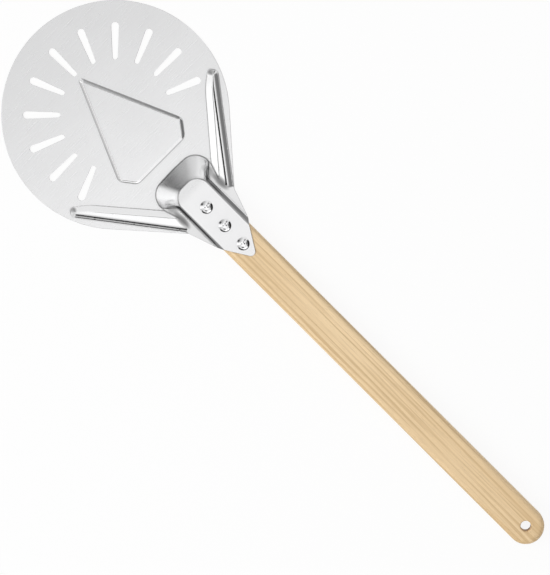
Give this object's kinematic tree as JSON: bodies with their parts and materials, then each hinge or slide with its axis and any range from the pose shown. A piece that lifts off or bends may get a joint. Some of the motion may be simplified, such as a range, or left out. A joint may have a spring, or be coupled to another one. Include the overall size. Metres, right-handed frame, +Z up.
{
  "type": "pizza peel",
  "caption": "Round perforated pizza turning peel: a pressed stainless blade with stiffening ribs and a hollow neck, riveted to a long flat wooden handle with a hanging hole.",
  "frame": {"origin": "centre of the round blade, on its underside", "axes": "+X from the blade's centre towards the handle's end, +Z up out of the blade's top face, -Z into the table it lies on"},
  "size_m": [0.7112, 0.2286, 0.0236],
  "materials": {
    "blade_steel": "brushed on the flat faces, bright on the pressed ones",
    "handle_wood": "light hardwood, sanded, thin clear oil",
    "rivet_steel": "polished stainless",
    "washer_steel": "plain stainless"
  },
  "bodies": {
    "root": {"blade": "blade_steel", "handle": "handle_wood", "rivet_front": "rivet_steel", "rivet_middle": "rivet_steel", "rivet_rear": "rivet_steel", "washer_front": "washer_steel", "washer_middle": "washer_steel", "washer_rear": "washer_steel"}
  },
  "joints": []
}
